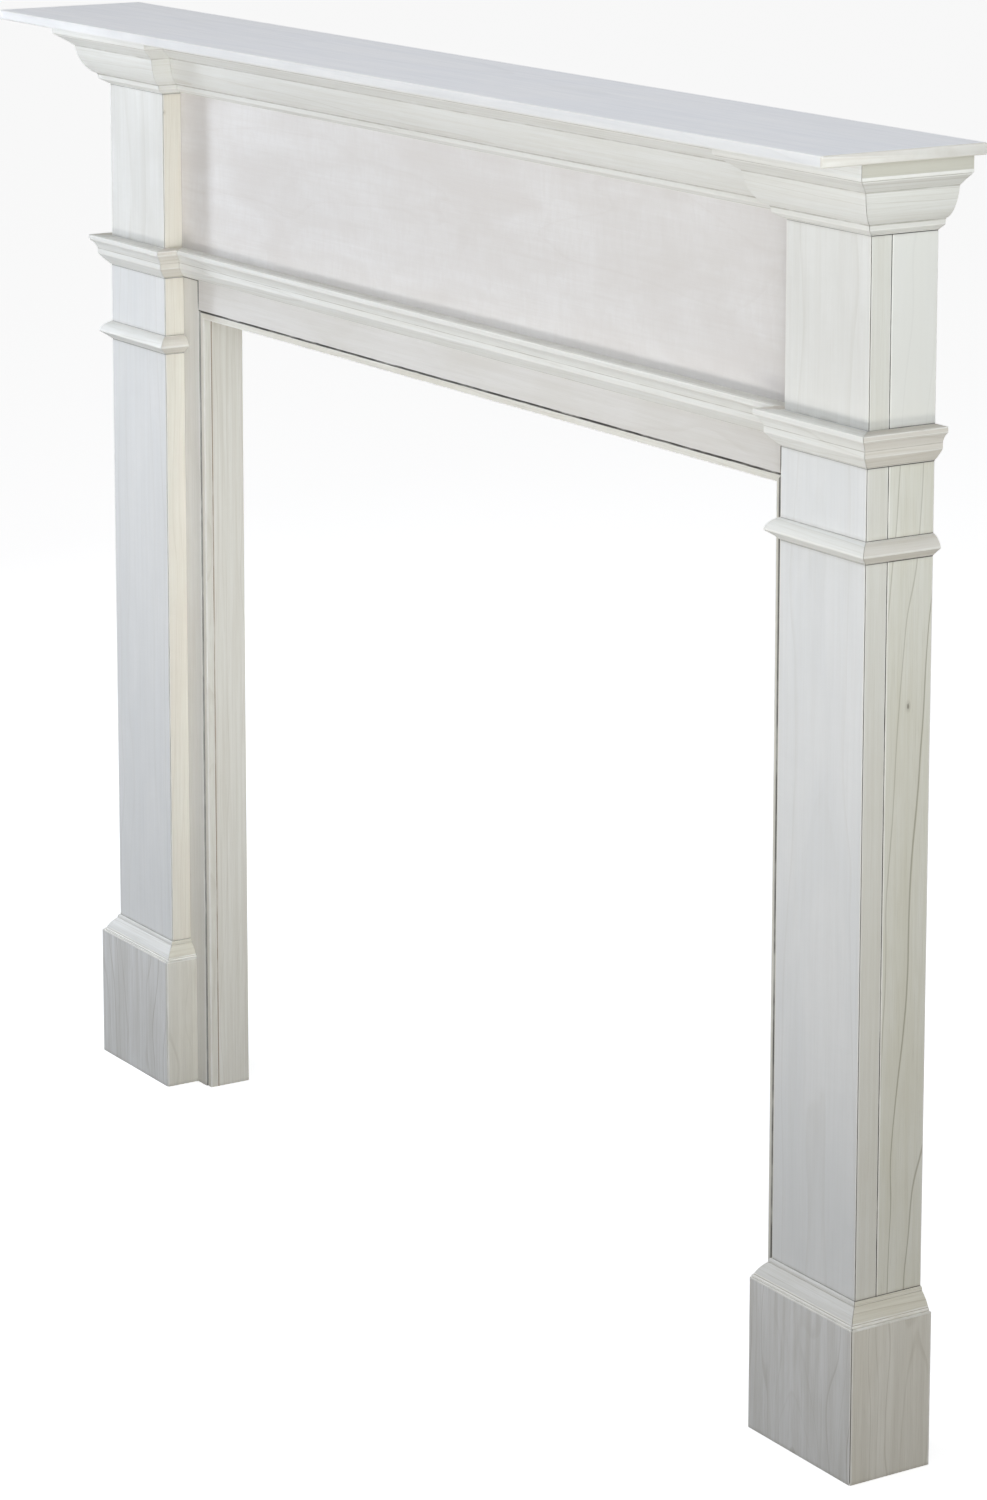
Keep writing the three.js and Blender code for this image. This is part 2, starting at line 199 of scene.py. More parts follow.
def wander(name, places):
    """How worn the corners are at each place: slow drift, and now and then a small knock."""
    dice = random.Random(board_seed(name) + 7)
    phases = [dice.uniform(0, math.tau) for _ in DRIFT_WAVES]
    knocks = [dice.uniform(places[0], places[-1]) for _ in range(KNOCKS)]
    wear = []
    for s in places:
        drift = sum(math.sin(s * f + p) for f, p in zip(DRIFT_WAVES, phases)) / len(phases)
        knock = max(math.exp(-(((s - k) / KNOCK_REACH) ** 2)) for k in knocks)
        wear.append(0.95 + 0.2 * drift + 0.55 * knock)
    return wear


print("stations on a shaft:", len(stations(0, 1.084)))

# %% [markdown]
# ## Dust and painted shade where pieces meet
# On the photograph a thin dark line sits wherever one piece stands on another. Most of it is the
# real gap, which the imported model leaves between pieces, and the rest is shade, which the finish
# paints in as a darker band with a little dust. The heights of those contacts come from the imported pieces
# themselves.

# %% Heights where one piece meets another
def top(node):
    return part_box(node)[1].z


def bottom(node):
    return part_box(node)[0].z


NECK = [top("cap_left_front"), bottom("neck_left_front"), top("neck_left_front")]
MID_FOOT, MID_TOP, CROWN_FOOT = bottom("mid_frieze"), top("mid_frieze"), bottom("crown_frieze")
CONTACTS = {
    "plinth": [0.0], "jamb": [0.0], "shaft": [*NECK, MID_FOOT], "block": [MID_TOP, CROWN_FOOT],
    "side": [0.0, *NECK, MID_FOOT, MID_TOP, CROWN_FOOT], "stile": [0.0, MID_FOOT],
    "header": [MID_FOOT], "frieze": [MID_TOP, CROWN_FOOT],
}
GRIME_REACH = 0.005


# Dust and painted shade: a mask that is 1 on each contact line and fades out a few millimetres away.
def grime_from(marks):
    """A function of a point: 1 on a contact line and 0 a few millimetres from all of them."""
    return lambda point: max(0.0, 1 - min([abs(point.z - m) for m in marks] + [1.0]) / GRIME_REACH)


SEAM_WIDTH = 0.00015
CORNER = 0.0018


def seam_from(node, lo, hi, marks, lies):
    """A function of a point: 1 on a joint line, less on a face that looks into an open joint."""
    kind = node.split("_")[0]
    near = min(abs(lo.x), abs(hi.x))
    header_foot = bottom("header_board")

    def seam(point):
        inward, back = abs(point.x) - near, point.y - lo.y
        at_corner = back < CORNER and (point.z - lo.z if lies else inward) < CORNER
        at_mark = any(-SEAM_DROP - SEAM_WIDTH < point.z - m < SEAM_WIDTH for m in marks)
        if lies or kind == "jamb":
            return 1.0 if at_corner else 0.0
        if kind == "stile":
            in_joint = inward < SEAM_WIDTH and hi.y - point.y > CORNER
            full = at_mark or at_corner and point.z > header_foot
            return 1.0 if full else 0.6 if in_joint else 0.0
        beside = kind == "side" and back < SEAM_WIDTH and inward > CORNER
        return 1.0 if beside or at_mark and kind != "plinth" else 0.0
    return seam


print("contact heights on a shaft:", [round(z, 4) for z in CONTACTS["shaft"]])

# %% Boards that stand and boards that lie
PLINTH_LIP, LIP_WEAR = 0.002, 0.7
TIMBER = {}


def hand_over(mesh, node):
    """Adds a mesh as the piece that stands for a node."""
    TIMBER[node] = put(f"{node}_timber", mesh)
    return TIMBER[node]


def shrink(ring, amount):
    """Draws a ring of points towards its middle by a fixed amount, for an eased end."""
    if not amount:
        return ring
    centre = sum(ring, Vector()) / len(ring)
    half = [max(abs((p - centre)[k]) for p in ring) or 1 for k in range(3)]
    return [centre + Vector([(p - centre)[k] * (1 - min(amount / half[k], 0.2)) for k in range(3)])
            for p in ring]


def board(node, corners, lies=False):
    """Makes a board in a node's place, from corners (x, y, radius), or (y, z, radius) if it lies."""
    lo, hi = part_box(node)
    marks = CONTACTS.get(node.split("_")[0], [])
    is_plinth = node.startswith("plinth")
    # Plinth sides get a wider corner band, so a wider pale line: wear and a painted highlight.
    band = WORN_BAND if is_plinth and not node.endswith("front") else EDGE_BAND
    if lies:
        places = stations(lo.x, hi.x)
    else:
        places = stations(lo.z, hi.z, marks + [hi.z - PLINTH_LIP] if is_plinth else marks)
    rings, masks = [], []
    for place, wear in zip(places, wander(node, places)):
        section = soft_section(corners, wear, band)
        # The plinth's top lip is marked pale too: wear and a painted highlight along its lit edge.
        at_lip = is_plinth and hi.z - place < 2 * END_EASE
        masks += [max(on_corner, LIP_WEAR if at_lip else 0.0) for _, _, on_corner in section]
        ring = [Vector((place, u, v) if lies else (u, v, place)) for u, v, _ in section]
        rings.append(shrink(ring, END_EASE if place in (places[0], places[-1]) else 0))
    order = (2, 1, 0) if lies else (0, 1, 2)
    mesh = skin(f"{node}_timber", rings, masks, lambda p: [p[k] for k in order], grime_from(marks),
                seam_from(node, lo, hi, marks, lies))
    hand_over(mesh, node)


# %% [markdown]
# ## Boards of the two pilasters
# Each pilaster is three boards mitred into a shallow hollow box. The mitre matters: the thin dark
# line on the real corner is the joint between two boards, so it must be a real gap and not paint.
# A board's section is therefore a trapezoid, with its sloping side meeting the neighbour's.

# %% Mitred boxes: blocks, shafts and plinths
ARRIS, MITRE_ARRIS = 0.0009, 0.0005
SIDES = (("left", -1), ("right", 1))


def spans(node):
    """How far a node's near and far faces are from the middle, and its front and back."""
    lo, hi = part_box(node)
    return *sorted((abs(lo.x), abs(hi.x))), lo.y, hi.y


def standing(node, corners):
    """A standing board from corners (distance from the middle, y, radius)."""
    sign = -1 if "_left" in node else 1
    board(node, [(sign * x, y, radius) for x, y, radius in corners])


def box_boards(name):
    """The three boards of one box: front, outer side and inner side."""
    near, far, front, back = spans(f"{name}_front")
    outer_near, outer_far, outer_front, outer_back = spans(f"{name}_outer")
    inner_near, inner_far, inner_front, inner_back = spans(f"{name}_inner")
    wall = back - front
    standing(f"{name}_front", [
        (near, front, MITRE_ARRIS), (far, front, MITRE_ARRIS),
        (far - (outer_far - outer_near), back, 0), (near + (inner_far - inner_near), back, 0)])
    standing(f"{name}_outer", [
        (outer_far, outer_front, MITRE_ARRIS), (outer_far, outer_back, ARRIS),
        (outer_near, outer_back, 0), (outer_near, outer_front + wall, 0)])
    standing(f"{name}_inner", [
        (inner_near, inner_front, MITRE_ARRIS), (inner_far, inner_front + wall, 0),
        (inner_far, inner_back, 0), (inner_near, inner_back, 0)])


for kind in ("block", "shaft", "plinth"):
    for side, _ in SIDES:
        box_boards(f"{kind}_{side}")
print("box boards:", len(TIMBER))

# %% [markdown]
# ## The backing frame and the linings
# Behind the pilasters stand the side boards and stiles, with the header and the plywood frieze
# between them. The opening is lined with thin boards. Only the corners that show are softened.

# %% Side boards, stiles, jambs, header, frieze and soffit
for side, _ in SIDES:
    for kind, radii in (("side", (0, ARRIS, ARRIS, 0)), ("stile", (ARRIS, 0, 0, 0)),
                        ("jamb", (MITRE_ARRIS, 0, 0, 0))):
        near, far, front, back = spans(f"{kind}_{side}")
        places = ((near, front), (far, front), (far, back), (near, back))
        standing(f"{kind}_{side}", [(*place, radius) for place, radius in zip(places, radii)])

for node, radius in (("header_board", ARRIS), ("frieze_panel", 0), ("soffit_board", ARRIS)):
    lo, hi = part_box(node)
    board(node, [(lo.y, lo.z, radius), (lo.y, hi.z, 0), (hi.y, hi.z, 0), (hi.y, lo.z, 0)], lies=True)
print("boards so far:", len(TIMBER))

# %% [markdown]
# ## The shelf
# One wide board, 12 mm thick, that oversails everything. Its edge looks square from far away and
# catches a bright line on its upper corner, so all four long corners are rounded a little more
# than on the other boards, and the two ends are eased over several close sections.

# %% The shelf board
SHELF_ARRIS = 0.0016
SHELF_END = 0.02
MOST_WEAR = 1.25
EASE_STEPS = ((0, 0.62), (0.00025, 0.36), (0.0006, 0.17), (0.0011, 0.05), (0.0016, 0.0))


def shelf():
    lo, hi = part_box("shelf_board")
    places = [(s, 0.0) for s in stations(lo.x + SHELF_END, hi.x - SHELF_END)]
    places = ([(lo.x + d, e) for d, e in EASE_STEPS] + places
              + [(hi.x - d, e) for d, e in reversed(EASE_STEPS)])
    wear = wander("shelf_board", [s for s, _ in places])
    rings, masks = [], []
    for (x, ease), worn in zip(places, wear):
        inset = SHELF_ARRIS * ease
        front, back, low, high = lo.y + inset, hi.y - inset, lo.z + inset, hi.z - inset
        places_round = ((front, low), (front, high), (back, high), (back, low))
        section = soft_section([(*place, SHELF_ARRIS) for place in places_round], min(MOST_WEAR, worn))
        masks += [p[2] for p in section]
        rings.append([Vector((x, u, v)) for u, v, _ in section])
    return skin("shelf_board_timber", rings, masks, lambda p: (p.y, p.z, p.x))


hand_over(shelf(), "shelf_board")
print("shelf faces:", len(TIMBER["shelf_board"].data.polygons))

# %% [markdown]
# ## A bench for node trees
# The mouldings and the finishes are all trees of nodes, and adding each node, its settings and its
# links by hand repeats the same three lines. One small class does that for both kinds of tree.

# %% The bench
class Bench:
    """Adds nodes to one tree, or to a new group if it gets a name, and links whatever is a socket."""

    def __init__(self, tree, kind="ShaderNodeTree"):
        self.tree = bpy.data.node_groups.new(tree, kind) if isinstance(tree, str) else tree

    def link(self, source, target):
        self.tree.links.new(source, target)

    def add(self, kind, feeds=None, **settings):
        node = self.tree.nodes.new(kind)
        for key, value in settings.items():
            setattr(node, key, value)
        for key, value in (feeds or {}).items():
            if isinstance(value, bpy.types.NodeSocket):
                self.link(value, node.inputs[key])
            else:
                node.inputs[key].default_value = value
        return node

    def take(self, inputs):
        """Makes the group's inputs. A default, or a word, tells what kind each is."""
        for label, value in inputs.items():
            kind = value if isinstance(value, str) else "Vector" if isinstance(value, tuple) else "Float"
            socket = self.tree.interface.new_socket(label, in_out="INPUT", socket_type=f"NodeSocket{kind}")
            if kind != value:
                socket.default_value = value
        return self.add("NodeGroupInput").outputs

    def give(self, results, kind="Float"):
        """Makes one output of the group for each result, and returns the whole group."""
        for label in results:
            self.tree.interface.new_socket(label, in_out="OUTPUT", socket_type=f"NodeSocket{kind}")
        self.add("NodeGroupOutput", results)
        return self.tree

    def first(self, kind, feeds=None, **settings):
        return self.add(kind, feeds, **settings).outputs[0]

    def math(self, operation, *values):
        return self.first("ShaderNodeMath", dict(enumerate(values)), operation=operation)

    def times(self, a, b):
        return self.math("MULTIPLY", a, b)

    def minus(self, a, b):
        return self.math("SUBTRACT", a, b)

    def times_plus(self, a, b, c):
        return self.math("MULTIPLY_ADD", a, b, c)

    def vector(self, operation, *values):
        return self.first("ShaderNodeVectorMath", dict(enumerate(values)), operation=operation)

    def length(self, a, b):
        return self.math("SQRT", self.times_plus(a, a, self.times(b, b)))

    def ramp(self, value, low, high, to_low=0.0, to_high=1.0):
        feeds = {0: value, 1: low, 2: high, 3: to_low, 4: to_high}
        return self.first("ShaderNodeMapRange", feeds, interpolation_type="SMOOTHSTEP")

    def blend(self, share, first, second):
        return self.add("ShaderNodeMix", {0: share, 6: first, 7: second}, data_type="RGBA").outputs[2]

    def noise(self, place, detail=3.0, roughness=0.5, distortion=0.0, scale=1.0):
        feeds = {"Vector": place, "Scale": scale, "Detail": detail, "Roughness": roughness,
                 "Distortion": distortion}
        return self.first("ShaderNodeTexNoise", feeds)


print("bench ready")

# %% [markdown]
# ## Mouldings, by rule
# A length of moulding is one profile drawn along a straight run, with each end sawn square, or
# at 45 degrees for an outside or inside corner. Twenty-six lengths of four profiles and three
# strips of trim follow this one rule, so a Geometry Nodes tree makes them all. Its modifier sits on
# the bare profile. The tree draws the profile along a line, slides every point along the run by how
# far it stands out (which is what a mitre is), and sets the result up in the run's own directions.

# %% Profiles, out from the face and up from the lower edge, in millimetres
QUARTER_STEPS = 10


def up_then_over(start, end, fullness):
    """A quarter of an ellipse that leaves its start straight up, or at fullness 0 a straight line."""
    points = []
    for i in range(QUARTER_STEPS + 1):
        share = i / QUARTER_STEPS
        angle = math.tau / 4 * share
        out = share + fullness * (1 - math.cos(angle) - share)
        rise = share + fullness * (math.sin(angle) - share)
        points.append((start[0] + (end[0] - start[0]) * out, start[1] + (end[1] - start[1]) * rise))
    return points


def over_then_up(start, end, fullness):
    """The same, but it leaves its start straight outwards."""
    return up_then_over(end, start, fullness)[::-1]


PROFILES = {
    "crown": [(0.3, 0), (2, 0), *over_then_up((2, 0.8), (10.8, 6.2), 0.12), (11.7, 11.4),
              *over_then_up((12.4, 12.4), (32.4, 45.5), 0.68), (33, 47.6),
              *up_then_over((34.6, 48.5), (50.8, 59.6), 0.1), (51.6, 60.2), (52.1, 61.5),
              (53.5, 62), (54, 62.5), (54, 64.6), (54, 80.5), (53.5, 81), (0.3, 81)],
    "mid": [(0.3, 0), (1.3, 0), *over_then_up((1.3, 0.6), (12, 12.1), 0.12), (12.8, 13.1),
            (12.8, 19.7), *up_then_over((13.1, 20.6), (20, 30), 0.4), (20.5, 30.7), (21, 31.2),
            (21, 36.2), (20.5, 36.7), (15, 36.7), (0.3, 36.7)],
    "neck": [(0.3, 0), (1.2, 0), *up_then_over((1.2, 0.3), (11.2, 7.8), 0.1), (12, 8.6),
             (12.5, 9.1), *up_then_over((12.5, 9.9), (0.8, 22.2), 0.56), (0.3, 22.2)],
    "cap": [(0.3, 0), (14.7, 0), (15.2, 0.5), (15.2, 1.9), (14.7, 2.4), (13.4, 2.9),
            *up_then_over((13.4, 3.4), (3.4, 16.9), 0.25), (2.5, 17.5),
            *up_then_over((3, 18), (0.9, 21.7), 0.9), (0.3, 21.7)],
    "trim": [(0, 0), (0, 9.3), (0.2, 9.8), (0.7, 10), (7.8, 10), (8.3, 9.8), (8.5, 9.3), (8.5, 0)],
}
print("profiles:", *PROFILES)

# %% Which profile points are proud corners, and which are hollows that get dust and painted shade
SHARP_TURN = math.radians(14)
BAND = 1.1


def marked_profile(points):
    """(out, up, corner, hollow) for each point, with flat points added beside long faces."""
    following = points[1:] + points[:1]
    area = sum(u * d - c * v for (u, v), (c, d) in zip(points, following))
    marked = []
    for (a, b), (u, v), (c, d) in zip(points[-1:] + points[:-1], points, following):
        turn = math.atan2((u - a) * (d - v) - (v - b) * (c - u), (u - a) * (c - u) + (v - b) * (d - v))
        turn *= 1 if area > 0 else -1
        # A hollow point is darkened later with dust and painted shade.
        marked.append((u, v, 1.0 if turn > SHARP_TURN else 0.0, 1.0 if turn < -SHARP_TURN else 0.0))
    refined = []
    for here, (c, d) in zip(marked, following):
        u, v = here[:2]
        length = math.hypot(c - u, d - v)
        refined.append(here)
        if length > 2.4 * BAND:
            refined += [(u + (c - u) * share, v + (d - v) * share, 0.0, 0.0)
                        for share in (BAND / length, 1 - BAND / length)]
    return refined


def special_marks(kind, out, rise):
    """Extra (corner, dust and shade, joint) masks: a painted highlight on the crown's bead, painted shade on
    the mid moulding's ledge, the trim's back.
    """
    # The crown's bead draws a pale line: a painted highlight where its lip catches the light.
    if kind == "crown" and 61.9 < rise < 65:
        return 1.0, 0.0, 0.0
    # The mid moulding's ledge top is painted darker: painted shade, as the shelf keeps the light from above
    # off it.
    if kind == "mid" and rise > 36.6 and out < 16:
        return 0.0, 0.55, 0.0
    if kind == "trim" and out > 7.7:
        return 0.0, 0.0, 1.0 if out > 8.2 else 0.6
    return 0.0, 0.0, 0.0


print("profile points:", {name: len(marked_profile(points)) for name, points in PROFILES.items()})

# %% The tree: one mitred length of moulding
WOBBLE_SCALE = 18.0


def mitred_length_tree():
    bench = Bench("mitred length of moulding", "GeometryNodeTree")
    given = bench.take({
        "Profile": "Geometry", "Length": 1.0, "Start reach": 1.0, "End reach": 1.0,
        "Start gap": 0.0003, "End gap": 0.0003, "Station step": 0.012, "Origin": (0, 0, 0),
        "Along": (1, 0, 0), "Outward": (0, -1, 0), "Rise": (0, 0, 1), "Hand wobble": 0.00008,
        "Seed": 0.0, "Tally": 0.0, "Timber": "Material"})

    outline = bench.first("GeometryNodeMeshToCurve", {"Mesh": given["Profile"]})
    reach = bench.first("ShaderNodeCombineXYZ", {"X": given["Length"]})
    line = bench.first("GeometryNodeCurvePrimitiveLine", {"End": reach})
    line = bench.first("GeometryNodeResampleCurve", {
        "Curve": line, "Length": given["Station step"]}, mode="LENGTH")
    mesh = bench.first("GeometryNodeCurveToMesh", {
        "Curve": line, "Profile Curve": outline, "Fill Caps": True})

    place = bench.add("ShaderNodeSeparateXYZ", {0: bench.first("GeometryNodeInputPosition")}).outputs
    out = bench.times(place["Y"], -1.0)
    rise = bench.times(place["Z"], -1.0)
    begin = bench.minus(given["Start gap"], bench.times(given["Start reach"], out))
    finish = bench.minus(bench.times_plus(given["End reach"], out, given["Length"]), given["End gap"])
    share = bench.math("DIVIDE", place["X"], given["Length"])
    slid = bench.times_plus(share, bench.minus(finish, begin), begin)

    wobble_place = bench.first("ShaderNodeCombineXYZ", {"X": slid, "Y": given["Seed"]})
    noise = bench.noise(wobble_place, detail=2.0, scale=WOBBLE_SCALE)
    stands = bench.times_plus(bench.minus(noise, 0.5), given["Hand wobble"], out)
    position = given["Origin"]
    for direction, amount in (("Along", slid), ("Outward", stands), ("Rise", rise)):
        position = bench.vector("MULTIPLY_ADD", given[direction], amount, position)

    centred = bench.times_plus(given["Length"], -0.5, slid)
    grain = bench.first("ShaderNodeCombineXYZ", {"X": rise, "Y": out, "Z": centred})
    for label, value, kind in (("grain", grain, "FLOAT_VECTOR"), ("tally", given["Tally"], "FLOAT")):
        feeds = {"Geometry": mesh, "Name": label, "Value": value}
        mesh = bench.first("GeometryNodeStoreNamedAttribute", feeds, data_type=kind)
    mesh = bench.first("GeometryNodeSetPosition", {"Geometry": mesh, "Position": position})
    mesh = bench.first("GeometryNodeRealizeInstances", {"Geometry": mesh})
    mesh = bench.first("GeometryNodeSetMaterial", {"Geometry": mesh, "Material": given["Timber"]})
    return bench.give({"Moulding": mesh}, "Geometry")


MITRED_LENGTH = mitred_length_tree()
INPUTS = {item.name: item.identifier for item in MITRED_LENGTH.interface.items_tree
          if item.in_out == "INPUT"}
print("tree inputs:", sorted(INPUTS))

# %% [markdown]
# ## Finishes
# The wood is poplar under a thin white wash. Up close five things change over it: fine streaks
# along the grain, darker growth-ring lines in long arches, soft blotches where the wash took more
# or less, pale rubbed corners that also carry a painted highlight, with short dark stretches of
# open joint, and dust with painted shade in the hollows.
# Four shader node groups make them, and every finish places the groups with its own values. They
# read the grain place stored on the pieces, so the figure follows every board's own length.

# %% [markdown]
# ### Grain streaks, pores and blotches
# Noise squeezed hard across the grain and stretched along it gives streaks. Three sizes of it are
# enough: streaks a few millimetres wide, hair-fine pores, and blotches as wide as a hand. The
# board's own number shifts each board to another place in the noise, so no two look cut alike.

# %% Group: streaks, pores and blotches
JUMP = (371.0, 193.0, 527.0)


def stretched(bench, grain, tally, across, along, *quality):
    """Noise stretched along the grain, read at a place that is the board's own."""
    jump = bench.vector("MULTIPLY", JUMP, tally)
    return bench.noise(bench.vector("MULTIPLY_ADD", grain, (across, across, along), jump), *quality)


def figure_group():
    bench = Bench("grain streaks and blotches")
    given = bench.take({"Grain": (0, 0, 0), "Tally": 0.0, "Fineness": 1.0})
    grain, tally = given["Grain"], given["Tally"]
    fine = bench.first("ShaderNodeCombineXYZ", {0: given["Fineness"], 1: given["Fineness"], 2: 1.0})
    streak_place = bench.vector("MULTIPLY", grain, fine)
    streaks = stretched(bench, streak_place, tally, 260, 5, 5.0, 0.62, 0.35)
    pores = stretched(bench, grain, tally, 1500, 28, 2.0, 0.6)
    blotches = stretched(bench, grain, tally, 17, 5.5, 3.0, 0.55, 0.6)
    ripple = stretched(bench, grain, tally, 30, 95, 3.0, 0.6, 1.2)
    return bench.give({
        "Streaks": bench.ramp(streaks, 0.30, 0.72), "Pores": bench.ramp(pores, 0.52, 0.74),
        "Blotches": bench.ramp(blotches, 0.28, 0.72), "Ripple": bench.ramp(ripple, 0.35, 0.70)})


FIGURE = figure_group()
print("group:", FIGURE.name)

# %% [markdown]
# ### Growth rings
# A sawn face cuts through nested cones, the tree's yearly rings. Distance from a pith line that
# lies a little behind the face, bent by slow noise, gives the same long arches as the real board.
# Each ring darkens slowly and ends in a sharp late-wood line, and some rings are stronger than
# others, which a random number for each ring gives.

# %% Group: growth rings
def rings_group():
    bench = Bench("growth rings")
    given = bench.take({"Grain": (0, 0, 0), "Tally": 0.0, "Pith across": 0.0, "Pith behind": 0.03,
                        "Ring width": 0.008, "Line share": 0.16, "Waviness": 0.012, "Taper": 0.02})
    grain, tally = given["Grain"], given["Tally"]
    wave = stretched(bench, grain, tally, 9, 2.6, 2.0, 0.45, 0.25)
    quiver = stretched(bench, grain, tally, 60, 14, 2.0, 0.5)
    parts = bench.add("ShaderNodeSeparateXYZ", {0: grain}).outputs
    sway = bench.times(bench.minus(wave, 0.5), given["Waviness"])
    across = bench.minus(parts["X"], given["Pith across"])
    behind = bench.minus(parts["Y"], given["Pith behind"])
    radius = bench.times_plus(sway, 4.0, bench.length(across, behind))
    radius = bench.times_plus(parts["Z"], given["Taper"], radius)
    radius = bench.times_plus(quiver, 0.0012, radius)
    count = bench.times_plus(tally, 97.0, bench.math("DIVIDE", radius, given["Ring width"]))
    phase = bench.math("FRACT", count)
    year = bench.first("ShaderNodeTexWhiteNoise", {"W": bench.math("FLOOR", count)}, noise_dimensions="1D")
    begins = bench.minus(0.97, given["Line share"])
    late = bench.times(bench.ramp(phase, begins, 0.95), bench.ramp(phase, 0.97, 1.0, 1.0, 0.0))
    strength = bench.ramp(year, 0.25, 0.95, 0.15)
    return bench.give({"Late wood": bench.times(late, strength), "Ring tone": bench.times(phase, strength)})


RINGS = rings_group()
print("group:", RINGS.name)

# %% [markdown]
# ### Rubbed corners with a painted highlight, open joints, dust and painted shade
# Corners were sanded through to paler wood, and their thin light line is also a painted highlight
# where the rounded corners catch the light. Along the mitred corners the joint stands open here and
# there, as short dark dashes. Dust with painted shade lies in the hollows of mouldings, on the mid
# moulding's ledge and along contacts. The masks for both are stored on the pieces.

# %% Group: corners with a painted highlight, joints, dust and painted shade
def wear_group():
    bench = Bench("corners, open joints and dust")
    given = bench.take({"Grain": (0, 0, 0), "Tally": 0.0, "Arris": 0.0, "Grime": 0.0, "Seam": 0.0,
                        "Open share": 0.3})
    grain, tally = given["Grain"], given["Tally"]
    patchy = stretched(bench, grain, tally, 40, 30, 3.0, 0.6)
    runs = stretched(bench, grain, tally, 4, 16, 3.0, 0.65)
    arris = bench.ramp(given["Arris"], 0.15, 0.50)
    # Rubbed corners: paler wood and a painted highlight.
    rubbed = bench.times(arris, bench.ramp(patchy, 0.30, 0.62, 0.45))
    opens = bench.ramp(runs, bench.minus(0.80, given["Open share"]), bench.minus(0.86, given["Open share"]))
    core = bench.ramp(given["Arris"], 0.84, 0.97)
    # Dust mask: dust and painted shade in hollows, on the ledge and along contacts.
    dust = bench.times(bench.ramp(given["Grime"], 0.15, 1.0), bench.ramp(patchy, 0.25, 0.65, 0.3))
    seam = bench.times(bench.ramp(given["Seam"], 0.30, 0.85), bench.ramp(runs, 0.30, 0.55, 0.45))
    return bench.give({"Rubbed": rubbed, "Open joint": bench.times(core, opens), "Dust": dust, "Seam": seam})


WEAR = wear_group()
print("group:", WEAR.name)

# %% Group: marks at real places, such as a knot or a nail hole
def spot_group():
    bench = Bench("a small mark in one place")
    given = bench.take({"Centre": (0, 0, 0), "Wide": 0.004, "Tall": 0.008})
    place = bench.add("ShaderNodeTexCoord").outputs["Object"]
    away = bench.vector("SUBTRACT", place, given["Centre"])
    parts = bench.add("ShaderNodeSeparateXYZ", {0: away}).outputs
    x = bench.math("DIVIDE", bench.length(parts["X"], parts["Y"]), given["Wide"])
    z = bench.math("DIVIDE", parts["Z"], given["Tall"])
    noise = bench.noise(bench.vector("MULTIPLY", place, (900, 900, 500)), 2.0)
    ragged = bench.times_plus(bench.minus(noise, 0.5), 0.8, bench.length(x, z))
    return bench.give({"Core": bench.ramp(ragged, 0.5, 1.0, 1.0, 0.0),
                       "Ring": bench.ramp(ragged, 1.0, 2.4, 1.0, 0.0)})


SPOT = spot_group()
print("group:", SPOT.name)

# %% [markdown]
# ### One recipe, eighteen finishes
# Every finish is the same wash over the same wood, so one recipe lays the groups in the same
# order, from the wood outwards: wash colour, blotches, streaks, rings, pores, then bands and spots
# that lie in one place, then corners with their painted highlight, open joints, dust with painted
# shade, and the seam lines, which on the right trim strip also carry a painted shadow. The band on
# the crown's right return, the pale upper band of the outer side boards, and the warmer side
# finishes of the mid and neck mouldings, caps and plinths are painted light and shade too. What
# differs is how much of each shows: the plywood is calm, the plinths are streaky, the outer side
# boards are greener with long dark arches. Colours are given as they look, and turned linear. Each
# finish also names its record slot and the nodes that take it (*er is outer and inner), and where
# two fit, the later one counts.

# %% The recipe
RUBBED_WOOD, JOINT_DARK, DUST, HEART = (251, 250, 245), (70, 62, 50), (138, 129, 110), (92, 82, 68)
ROUGHNESS, RELIEF, RELIEF_DEPTH = 0.5, 0.25, 0.0004
BAND_BLUR = 0.0006


def linear(red, green, blue):
    """A colour as a picture shows it (0 to 255), turned to the linear light that shaders use."""
    values = [c / 255 for c in (red, green, blue)]
    return tuple(v / 12.92 if v <= 0.04045 else ((v + 0.055) / 1.055) ** 2.4 for v in values) + (1.0,)


